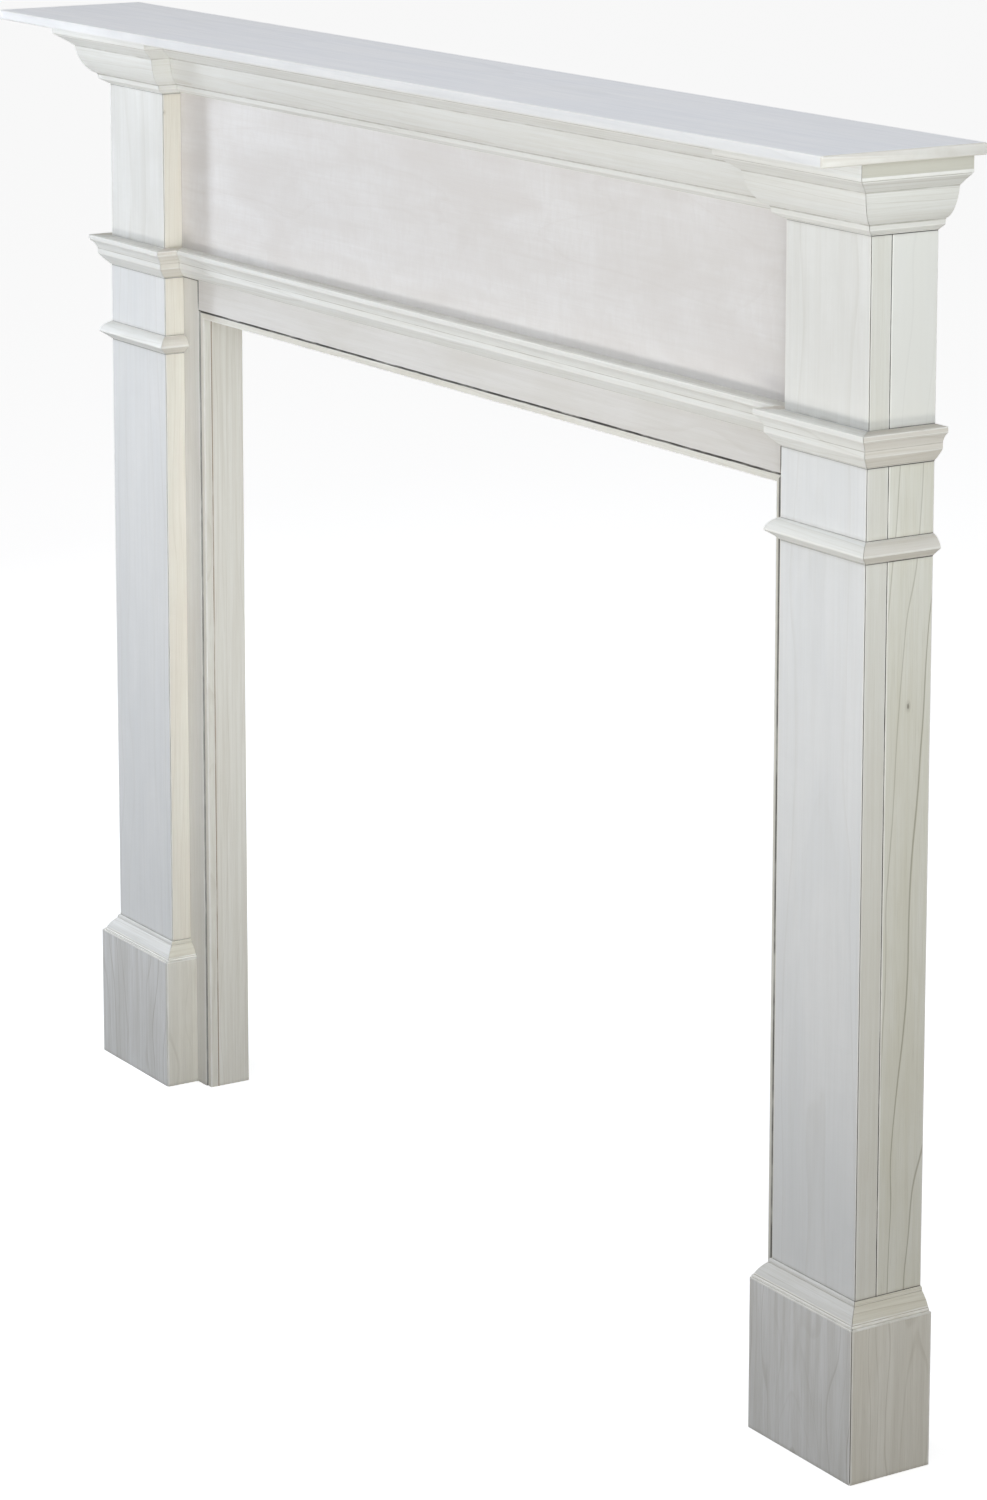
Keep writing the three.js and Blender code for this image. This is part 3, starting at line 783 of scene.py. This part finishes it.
def washed_timber(name, wash, blotch, streak, ring, *, blotches=0.6, streaks=0.34, rings=0.16, pores=0.12,
                  ripples=0.0, rubbed=0.7, open_joint=0.0, open_share=0.3, dust=0.3, pith=(0.0, 0.035),
                  ring_width=0.006, line_share=0.2, waviness=0.012, taper=0.02, fineness=1.0, seam=0.0,
                  seam_colour=(48, 43, 37), bands=(), spots=()):
    """A finish from four colours as they look, and from how much of each thing shows."""
    material = bpy.data.materials.new(name)
    material.use_nodes = True
    bench = Bench(material.node_tree)
    shader = material.node_tree.nodes["Principled BSDF"].inputs
    grain = bench.add("ShaderNodeAttribute", attribute_name="grain").outputs["Vector"]
    # The seam mask carries dark joint lines, and on the right trim strip also a painted shadow.
    tally, arris, grime, joint = (bench.add("ShaderNodeAttribute", attribute_name=label).outputs["Fac"]
                                  for label in ("tally", "arris", "grime", "seam"))
    place = {"Grain": grain, "Tally": tally}
    figure = bench.add("ShaderNodeGroup", {**place, "Fineness": fineness}, node_tree=FIGURE).outputs
    growth = bench.add("ShaderNodeGroup", {
        **place, "Pith across": pith[0], "Pith behind": pith[1], "Ring width": ring_width,
        "Line share": line_share, "Waviness": waviness, "Taper": taper}, node_tree=RINGS).outputs
    wear = bench.add("ShaderNodeGroup", {
        **place, "Arris": arris, "Grime": grime, "Seam": joint, "Open share": open_share},
        node_tree=WEAR).outputs

    layers = [(figure["Blotches"], blotches, blotch), (figure["Ripple"], ripples, blotch),
              (figure["Streaks"], streaks, streak), (growth["Ring tone"], rings * 0.3, streak),
              (growth["Late wood"], rings, ring), (figure["Pores"], pores, ring)]
    for axis, low, high, tone, depth in bands:
        reach = bench.add("ShaderNodeSeparateXYZ", {0: grain}).outputs[axis]
        inside = bench.times(bench.ramp(reach, low - BAND_BLUR, low + BAND_BLUR),
                             bench.ramp(reach, high - BAND_BLUR, high + BAND_BLUR, 1.0, 0.0))
        layers.append((inside, depth, tone))
    for centre, wide, tall, depth in spots:
        spot = bench.add("ShaderNodeGroup", {"Centre": centre, "Wide": wide, "Tall": tall},
                         node_tree=SPOT).outputs
        layers += [(spot["Ring"], 0.35 * depth, ring), (spot["Core"], depth, HEART)]
    # Corners paint a highlight along with wear, dust paints shade along with dust, and the seam layer paints
    # dark joints and one painted shadow.
    layers += [(wear["Rubbed"], rubbed, RUBBED_WOOD), (wear["Open joint"], open_joint, JOINT_DARK),
               (wear["Dust"], dust, DUST), (wear["Seam"], seam, seam_colour)]
    colour = linear(*wash)
    for mask, amount, tone in layers:
        colour = bench.blend(bench.times(mask, amount), colour, linear(*tone))
    bench.link(colour, shader["Base Color"])

    rough = bench.times_plus(figure["Streaks"], 0.10, ROUGHNESS)
    rough = bench.times_plus(figure["Blotches"], 0.07, rough)
    bench.link(rough, shader["Roughness"])
    height = bench.times(figure["Streaks"], 0.5)
    height = bench.times_plus(figure["Pores"], -0.6, height)
    height = bench.times_plus(growth["Late wood"], -0.5, height)
    bump = bench.add("ShaderNodeBump", {"Height": height, "Strength": RELIEF, "Distance": RELIEF_DEPTH})
    bench.link(bump.outputs[0], shader["Normal"])
    return material


print("roughness from", ROUGHNESS)

# %% The finishes: nodes, slot, four colours, and what each changes in the recipe
KNOT = ((0.796, 0.071, 0.80), 0.0018, 0.0036, 0.6)
NAIL_HOLE = ((-0.6555, 0.0172, 1.255), 0.0022, 0.0022, 0.9)
SHELF_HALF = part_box("shelf_board")[1].x
SHELF_BAND, SHELF_BAND_TONE = 0.0022, (228, 223, 212)
UPPER_SIDE = bottom("mid_right_front") - (top("side_right") + bottom("side_right")) / 2
FINISHES, CHANGES = [], {}


def finish(key, nodes, slot, *colours, like=None, **changes):
    """Mixes a finish, starting from the changes of a like one where that is named."""
    CHANGES[key] = {**CHANGES.get(like, {}), **changes}
    wood = "plywood" if key == "frieze" else "poplar"
    material = washed_timber(f"washed {wood}, {key}", *colours, **CHANGES[key])
    FINISHES.append((nodes.split(), material, slot))


finish("shelf", "shelf*", "shelf_wood", (249, 249, 248), (242, 243, 244), (229, 231, 233), (208, 209, 205),
       blotches=0.8, streaks=0.4, rings=0.12, ripples=0.15, pores=0.06, rubbed=0.5, dust=0.0,
       pith=(0.02, -0.10), ring_width=0.014, fineness=0.5,
       bands=[("Z", low, high, SHELF_BAND_TONE, 0.85)
              for low, high in ((-1.0, SHELF_BAND - SHELF_HALF), (SHELF_HALF - SHELF_BAND, 1.0))])
finish("moulding", "crown* mid* neck*", "moulding_wood", (245, 246, 243), (240, 240, 235), (228, 226, 218),
       (192, 186, 170), streaks=0.45, rings=0.2, rubbed=0.6, dust=0.5, waviness=0.005)
# The returns of the mid and neck mouldings take a warmer, dimmer copy of the moulding finish: painted warm
# light and shade on faces turned sideways.
finish("moulding side", "mid*er neck*er", "moulding_wood", (235, 232, 225),
       (228, 223, 214), (216, 210, 197), (184, 174, 154), like="moulding", streaks=0.5, rings=0.25,
       rubbed=0.7)
# On the crown's right return the upper band is painted darker beige: painted shade, where the shelf shades
# it.
finish("crown return", "crown_right_outer", "moulding_wood", (244, 244, 241), (238, 238, 232),
       (224, 222, 213), (176, 168, 150), like="moulding", streaks=0.6, rings=0.3, rubbed=1.0, dust=0.6,
       bands=[("X", 0.0655, 0.085, (204, 201, 186), 0.75)])
finish("cap", "cap*", "moulding_wood", (238, 238, 236), (229, 229, 225), (212, 210, 202), (166, 158, 140),
       blotches=0.7, streaks=0.55, rings=0.3, pores=0.16, rubbed=1.0, dust=0.7, waviness=0.006)
# The cap's side faces take a warmer copy of the cap finish: painted warm side light.
finish("cap side", "cap*er", "moulding_wood", (239, 237, 226), (231, 227, 212),
       (213, 208, 191), (166, 156, 132), like="cap", dust=0.6)
finish("plinth", "plinth*", "plinth_wood", (243, 243, 243), (231, 231, 229), (210, 208, 202),
       (160, 153, 137), blotches=0.8, streaks=0.6, rings=0.4, pores=0.16, rubbed=1.0, ring_width=0.016,
       line_share=0.12, waviness=0.035, fineness=0.4)
# The plinth's side boards take a warmer, slightly dimmer copy of the plinth finish: painted side light and
# shade.
finish("plinth side", "plinth*er", "plinth_wood", (241, 239, 231), (230, 226, 214),
       (212, 208, 197), (162, 153, 133), like="plinth", streaks=0.5)
finish("block front", "block*", "pilaster_front_wood", (240, 240, 237), (231, 231, 227), (222, 220, 214),
       (196, 192, 180), blotches=0.7, streaks=0.3, rings=0.14, pores=0.1, ripples=0.15, rubbed=0.8,
       open_joint=0.8, open_share=0.25, ring_width=0.018, fineness=0.6, seam=0.5)
finish("pilaster front", "shaft*", "pilaster_front_wood", (240, 241, 241), (231, 233, 234),
       (222, 222, 220), (198, 195, 187), like="block front", streaks=0.26, rings=0.12, pores=0.08)
finish("pilaster side", "block*inner shaft*inner", "pilaster_side_wood", (243, 241, 231), (237, 229, 217),
       (224, 218, 203), (186, 173, 150), rings=0.18, open_joint=0.3, open_share=0.2, ring_width=0.008,
       seam=0.6, spots=[NAIL_HOLE])
finish("outer strip", "block*outer shaft*outer", "pilaster_side_wood", (235, 235, 229), (226, 224, 214),
       (214, 211, 200), (186, 178, 158), ring_width=0.010, seam=0.85)
# Above the mid moulding's foot the side board is painted paler and cooler: painted light, where the upper
# side gets more light.
finish("outer side", "side*", "outer_side_wood", (237, 237, 229), (226, 224, 210), (211, 208, 190),
       (128, 119, 96), blotches=0.7, rings=0.52, rubbed=0.85, pith=(0.012, -0.05), ring_width=0.028,
       line_share=0.05, waviness=0.018, taper=-0.055, fineness=0.6, seam=0.9, spots=[KNOT],
       bands=[("Z", UPPER_SIDE, 1.0, (240, 240, 236), 0.85)])
finish("frame", "stile*", "panel_wood", (231, 230, 225), (221, 218, 210), (208, 204, 194), (168, 160, 144),
       pores=0.14, rubbed=0.5, dust=0.4, ring_width=0.016, fineness=0.7, seam=0.95)
finish("header", "header*", "panel_wood", (233, 231, 228), (224, 221, 215), (212, 208, 200),
       (186, 178, 164), streaks=0.3, rings=0.10, pores=0.1, rubbed=0.5, pith=(0.0, 0.16), ring_width=0.012,
       fineness=0.7, seam=1.0)
finish("frieze", "frieze*", "panel_wood", (238, 236, 235), (228, 224, 221), (222, 217, 213),
       (206, 198, 191), blotches=0.85, streaks=0.2, rings=0.08, ripples=0.35, pores=0.05, rubbed=0.5,
       dust=0.5, ring_width=0.05, waviness=0.08)
finish("lining", "jamb* soffit*", "lining_wood", (243, 241, 233), (236, 233, 223), (219, 214, 201),
       (182, 172, 152), blotches=0.5, streaks=0.5, rings=0.2, rubbed=0.2, ring_width=0.007, seam=0.85,
       seam_colour=(152, 124, 94))
finish("trim", "trim*", "lining_wood", (242, 241, 233), (232, 228, 215), (214, 209, 196), (156, 134, 104),
       streaks=0.45, rings=0.15, pores=0.2, seam=0.9)
print("finishes:", len(FINISHES))

# %% Which finish a piece takes
def dressing(node):
    """The material and the slot of the last finish that names a node."""
    return [(material, slot) for nodes, material, slot in FINISHES
            if any(fnmatch(node, pattern) for pattern in nodes)][-1]


for node, piece in TIMBER.items():
    piece.data.materials.append(dressing(node)[0])
print("boards dressed:", len(TIMBER))

# %% [markdown]
# ## Laying the runs
# A run is given in plan by its two ends and how each is sawn. The two upper mouldings go round the
# head of a pilaster and on along the frieze, and the narrow bands go round three sides of a
# pilaster. One side is laid out and the other is its mirror.

# %% Make one length with the tree, and keep it as a plain mesh
MILLIMETRE = 0.001
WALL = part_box("shelf_board")[1].y
REACH = {"out": 1.0, "in": -1.0, "square": 0.0}
GAP = 0.0003
UP = (0.0, 0.0, 1.0)


def profile_mesh(kind):
    """The bare profile as a closed loop of edges, with its corner and hollow masks."""
    points = marked_profile(PROFILES[kind])
    marks = [special_marks(kind, u, v) for u, v, _, _ in points]
    mesh = bpy.data.meshes.new(f"{kind} profile")
    edges = [(i, (i + 1) % len(points)) for i in range(len(points))]
    mesh.from_pydata([(u * MILLIMETRE, v * MILLIMETRE, 0) for u, v, _, _ in points], edges, [])
    store(mesh, arris=[max(p[2], mark[0]) for p, mark in zip(points, marks)],
          grime=[max(p[3], mark[1]) for p, mark in zip(points, marks)],
          seam=[mark[2] for mark in marks])
    return mesh


def mitred_length(node, origin, along, outward, length, cuts, gaps=(GAP, GAP), rise=UP):
    """Runs the tree for one node and keeps the plain mesh that it makes."""
    piece = hand_over(profile_mesh(node.split("_")[0]), node)
    modifier = piece.modifiers.new("mitred length", "NODES")
    modifier.node_group = MITRED_LENGTH
    seed = board_seed(f"{node}_timber")
    for label, value in {
        "Length": length, "Start reach": REACH[cuts[0]], "End reach": REACH[cuts[1]],
        "Start gap": gaps[0], "End gap": gaps[1], "Origin": origin, "Along": along,
        "Outward": outward, "Rise": rise, "Seed": float(seed % 1000),
        "Tally": random.Random(seed).random(), "Timber": dressing(node)[0],
    }.items():
        modifier[INPUTS[label]] = value
    graph = bpy.context.evaluated_depsgraph_get()
    made = bpy.data.meshes.new_from_object(piece.evaluated_get(graph))
    piece.modifiers.remove(modifier)
    piece.data = made
    made.name = f"{node}_timber"
    finish_mesh(made)


# %% Lay the mouldings out in plan
def lay(node, side, start, end, cuts):
    """One length from plan points (across, forward), mirrored to its side."""
    run = Vector(end) - Vector(start)
    along = run.normalized()
    outward = Vector((-along.y, along.x))
    mitred_length(node, origin=(side * start[0], WALL - start[1], bottom(node)),
                  along=(side * along.x, -along.y, 0.0), outward=(side * outward.x, -outward.y, 0.0),
                  length=run.length, cuts=cuts)


outer_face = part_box("shaft_right_outer")[1].x
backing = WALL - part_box("stile_right")[0].y
for kind in ("crown", "mid", "neck", "cap"):
    host = "block_right" if kind == "crown" else "shaft_right"
    inner_face, depth = round(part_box(f"{host}_inner")[0].x, 6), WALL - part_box(f"{host}_front")[0].y
    inner_cut = "in" if kind in ("crown", "mid") else "square"
    for label, side in SIDES:
        for face, start, end, cuts in (
            ("outer", (outer_face, depth), (outer_face, 0.0), ("out", "square")),
            ("front", (inner_face, depth), (outer_face, depth), ("out", "out")),
            ("inner", (inner_face, backing), (inner_face, depth), (inner_cut, "out")),
        ):
            lay(f"{kind}_{label}_{face}", side, start, end, cuts)
    if inner_cut == "in":
        lay(f"{kind}_frieze", 1, (-inner_face, backing), (inner_face, backing), ("in", "in"))
print("lengths of moulding:", sum(node.split("_")[0] in PROFILES for node in TIMBER))

# %% The square trim round the opening, from the same tree
trim_lo, trim_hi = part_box("trim_head")
opening_half, opening_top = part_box("jamb_right")[0].x, trim_lo.z
for label, side in SIDES:
    mitred_length(f"trim_{label}", origin=(side * opening_half, trim_hi.y, 0.0),
                  along=UP, outward=(float(side), 0.0, 0.0), rise=(0.0, -1.0, 0.0),
                  length=opening_top, cuts=("square", "out"), gaps=(0.0, GAP / 2))
mitred_length("trim_head", origin=(-opening_half, trim_hi.y, opening_top),
              along=(1.0, 0.0, 0.0), outward=UP, rise=(0.0, -1.0, 0.0),
              length=2 * opening_half, cuts=("out", "out"), gaps=(GAP / 2, GAP / 2))

# Beside the right-hand strip the joint is open, and the strip's outer part is painted black: the open joint
# and a painted shadow of the leg, a black line along the leg.
DIRTY_FROM = 0.006
dirty = TIMBER["trim_right"].data
for vertex, mask in zip(dirty.vertices, dirty.attributes["seam"].data):
    if vertex.co.x - opening_half > DIRTY_FROM:
        mask.value = 1.0
print("pieces:", len(TIMBER), "of", len(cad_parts))

# %% [markdown]
# ## Fixing every piece to its node
# Each dressed piece stands for one imported node, rides on the one rigid body, and keeps the finish
# it was dressed in. The boxes are compared, because a piece must be where its node is.

# %% Replace and ride
worst = 0.0
for node, piece in TIMBER.items():
    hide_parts(node)
    dressing(node)[1]
    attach(piece, "root")
    lo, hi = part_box(node)
    for k in range(3):
        places = [corner[k] for corner in piece.bound_box]
        worst = max(worst, abs(min(places) - lo[k]), abs(max(places) - hi[k]))
faces_made = sum(len(piece.data.polygons) for piece in TIMBER.values())
print("worst difference from a node's box:", round(worst * 1000, 3), "mm; faces:", faces_made)

# %% [markdown]
# ## Floor and light
# In the photograph the fronts are cool and brightest high up on the left, the sides that face
# right are warmer and dimmer, and everything falls off towards the floor. So a cool strip stands on
# the left and a large warm light on the right, one hangs overhead for the shelf, two low ones reach
# up under the mouldings, and three small ones fill in at the right head, the left leg and the left
# crown. Floor and sky look paler to the eye than the light they give, by Is Camera Ray.

# %% Floor
FLOOR_HALF = 30.0
floor_mesh = bpy.data.meshes.new("studio_floor")
floor_mesh.from_pydata([(x * FLOOR_HALF, y * FLOOR_HALF, 0) for x, y in
                        ((-1, -1), (1, -1), (1, 1), (-1, 1))], [], [(0, 1, 2, 3)])
floor = put("studio_floor", floor_mesh)
floor_paint = bpy.data.materials.new("pale studio floor")
floor_paint.use_nodes = True
bench = Bench(floor_paint.node_tree)
bench.tree.nodes.remove(bench.tree.nodes["Principled BSDF"])
seen = bench.first("ShaderNodeBsdfDiffuse", {"Color": (0.86, 0.86, 0.86, 1)})
lift = bench.first("ShaderNodeEmission", {"Color": (1, 1, 1, 1), "Strength": 0.60})
seen = bench.first("ShaderNodeAddShader", {0: seen, 1: lift})
bounced = bench.first("ShaderNodeBsdfDiffuse", {"Color": (0.40, 0.40, 0.40, 1)})
by_eye = bench.add("ShaderNodeLightPath").outputs["Is Camera Ray"]
floor_mix = bench.first("ShaderNodeMixShader", {0: by_eye, 1: bounced, 2: seen})
bench.link(floor_mix, bench.tree.nodes["Material Output"].inputs["Surface"])
floor_mesh.materials.append(floor_paint)
print("floor:", FLOOR_HALF * 2, "m square")

# %% Lights
def soft_light(name, place, target, size, power, colour, spread=180):
    """A soft box: a flat light of (width, height), turned to a target, that no camera sees."""
    data = bpy.data.lights.new(name, "AREA")
    data.shape = "RECTANGLE"
    data.size, data.size_y = size
    data.energy = power
    data.color = colour
    data.spread = math.radians(spread)
    light = put(name, data)
    light.location = place
    light.rotation_euler = (Vector(target) - Vector(place)).to_track_quat("-Z", "Y").to_euler()
    light.visible_camera = False


soft_light("low front", (0.1, -2, 0.25), (0.1, 0, 1.3), (3, 0.4), 3.4, (1, 0.98, 0.98), 70)
soft_light("low right", (2.6, -1.6, 0.25), (0.6, 0, 1.3), (1.2, 0.5), 3.2, (1, 0.97, 0.88), 70)
soft_light("cool left", (-3, -0.8, 1.3), (0, 0, 1.1), (0.25, 1), 31, (0.84, 0.91, 1))
soft_light("wide right", (4, -0.8, 1.4), (0.2, 0, 0.7), (2, 2), 12.6, (1, 0.94, 0.82))
soft_light("near right", (2.2, -0.7, 1.6), (0.8, 0, 1.4), (0.8, 0.6), 2.6, (0.80, 0.90, 1), 90)
soft_light("left leg", (1.8, -1, 1), (-0.68, 0, 0.6), (0.3, 0.8), 1.1, (0.95, 0.98, 1), 40)
soft_light("left crown", (-0.75, -0.9, 0.35), (-0.72, -0.05, 1.42), (0.3, 0.3), 0.05, (0.98, 1, 1), 25)
soft_light("overhead", (0, -0.4, 4), (0, 0, 0), (2.5, 2.5), 35, (0.87, 0.90, 1))
world = bpy.data.worlds.new("pale studio")
world.use_nodes = True
SKY_LIGHT, SKY_SEEN = 0.39, 0.95
bench = Bench(world.node_tree)
by_eye = bench.add("ShaderNodeLightPath").outputs["Is Camera Ray"]
sky = world.node_tree.nodes["Background"]
sky.inputs["Color"].default_value = (1, 1, 1, 1)
strength = bench.times_plus(by_eye, SKY_SEEN - SKY_LIGHT, SKY_LIGHT)
bench.link(strength, sky.inputs["Strength"])
scene.world = world
scene.view_settings.view_transform = "Standard"
